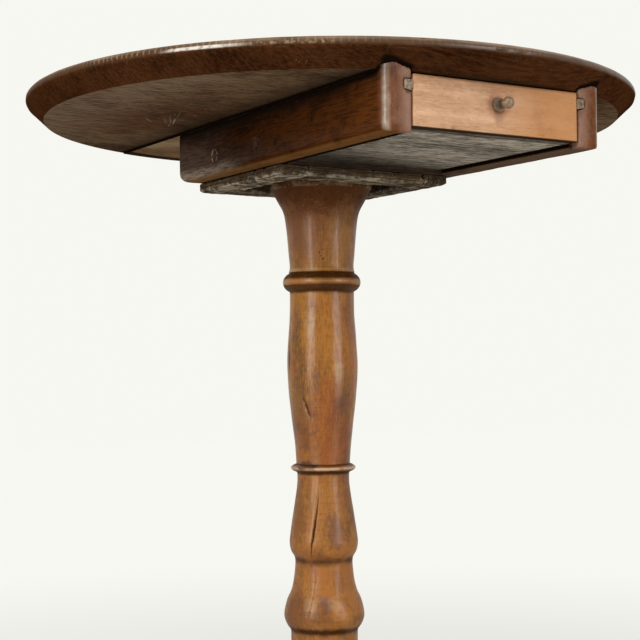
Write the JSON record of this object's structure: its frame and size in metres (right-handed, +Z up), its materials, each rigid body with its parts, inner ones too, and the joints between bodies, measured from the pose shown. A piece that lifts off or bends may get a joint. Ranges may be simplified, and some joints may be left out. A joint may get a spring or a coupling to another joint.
{
  "type": "tavern table",
  "caption": "Round wooden tavern table on a turned column with tripod legs; a shallow side-hung drawer slides out from a case under the top.",
  "frame": {"origin": "on the floor, under the middle of the round top", "axes": "+Z up, the drawer opens toward -Y, +X to the right seen from the drawer side"},
  "size_m": [0.64, 0.6398, 0.755],
  "materials": {
    "top_wood": "dark walnut, worn satin varnish, dry unfinished underside",
    "top_centre_wood": "walnut, worn satin varnish, paler dry underside",
    "bearer_wood": "dark red-brown stained wood, satin",
    "block_wood": "rough dark secondary wood, matte",
    "frame_wood": "worn brown wood with pale edges, matte",
    "column_wood": "honey-brown turned wood, old satin varnish",
    "drawer_front_wood": "light tan wood, satin",
    "drawer_inner_wood": "grey weathered unfinished wood, matte",
    "knob_wood": "olive-brown turned wood, satin",
    "iron": "rusted wrought iron, matte"
  },
  "bodies": {
    "table": {"bearer_left": "bearer_wood", "bearer_right": "bearer_wood", "bearer_screws": "iron", "block_pegs": "bearer_wood", "column": "column_wood", "column_wedge": "block_wood", "frame_nails": "iron", "frame_strip_front": "frame_wood", "frame_strip_left": "frame_wood", "frame_strip_rear": "frame_wood", "frame_strip_right": "frame_wood", "head_block": "block_wood", "leg_front": "column_wood", "leg_rear_left": "column_wood", "leg_rear_right": "column_wood", "top_board_centre": "top_centre_wood", "top_board_left": "top_wood", "top_board_right": "top_wood", "top_seam_dowels": "block_wood"},
    "drawer": {"drawer_back": "drawer_inner_wood", "drawer_bottom": "drawer_inner_wood", "drawer_bottom_pins": "iron", "drawer_front": "drawer_front_wood", "drawer_knob": "knob_wood", "drawer_runner_left": "drawer_front_wood", "drawer_runner_pins": "iron", "drawer_runner_right": "drawer_front_wood", "drawer_side_left": "drawer_inner_wood", "drawer_side_pins": "iron", "drawer_side_right": "drawer_inner_wood"}
  },
  "joints": [
    {"name": "drawer_slide", "type": "slide", "parent": "table", "child": "drawer", "axis": [0, -1, 0], "range_m": [0, 0.16]}
  ]
}
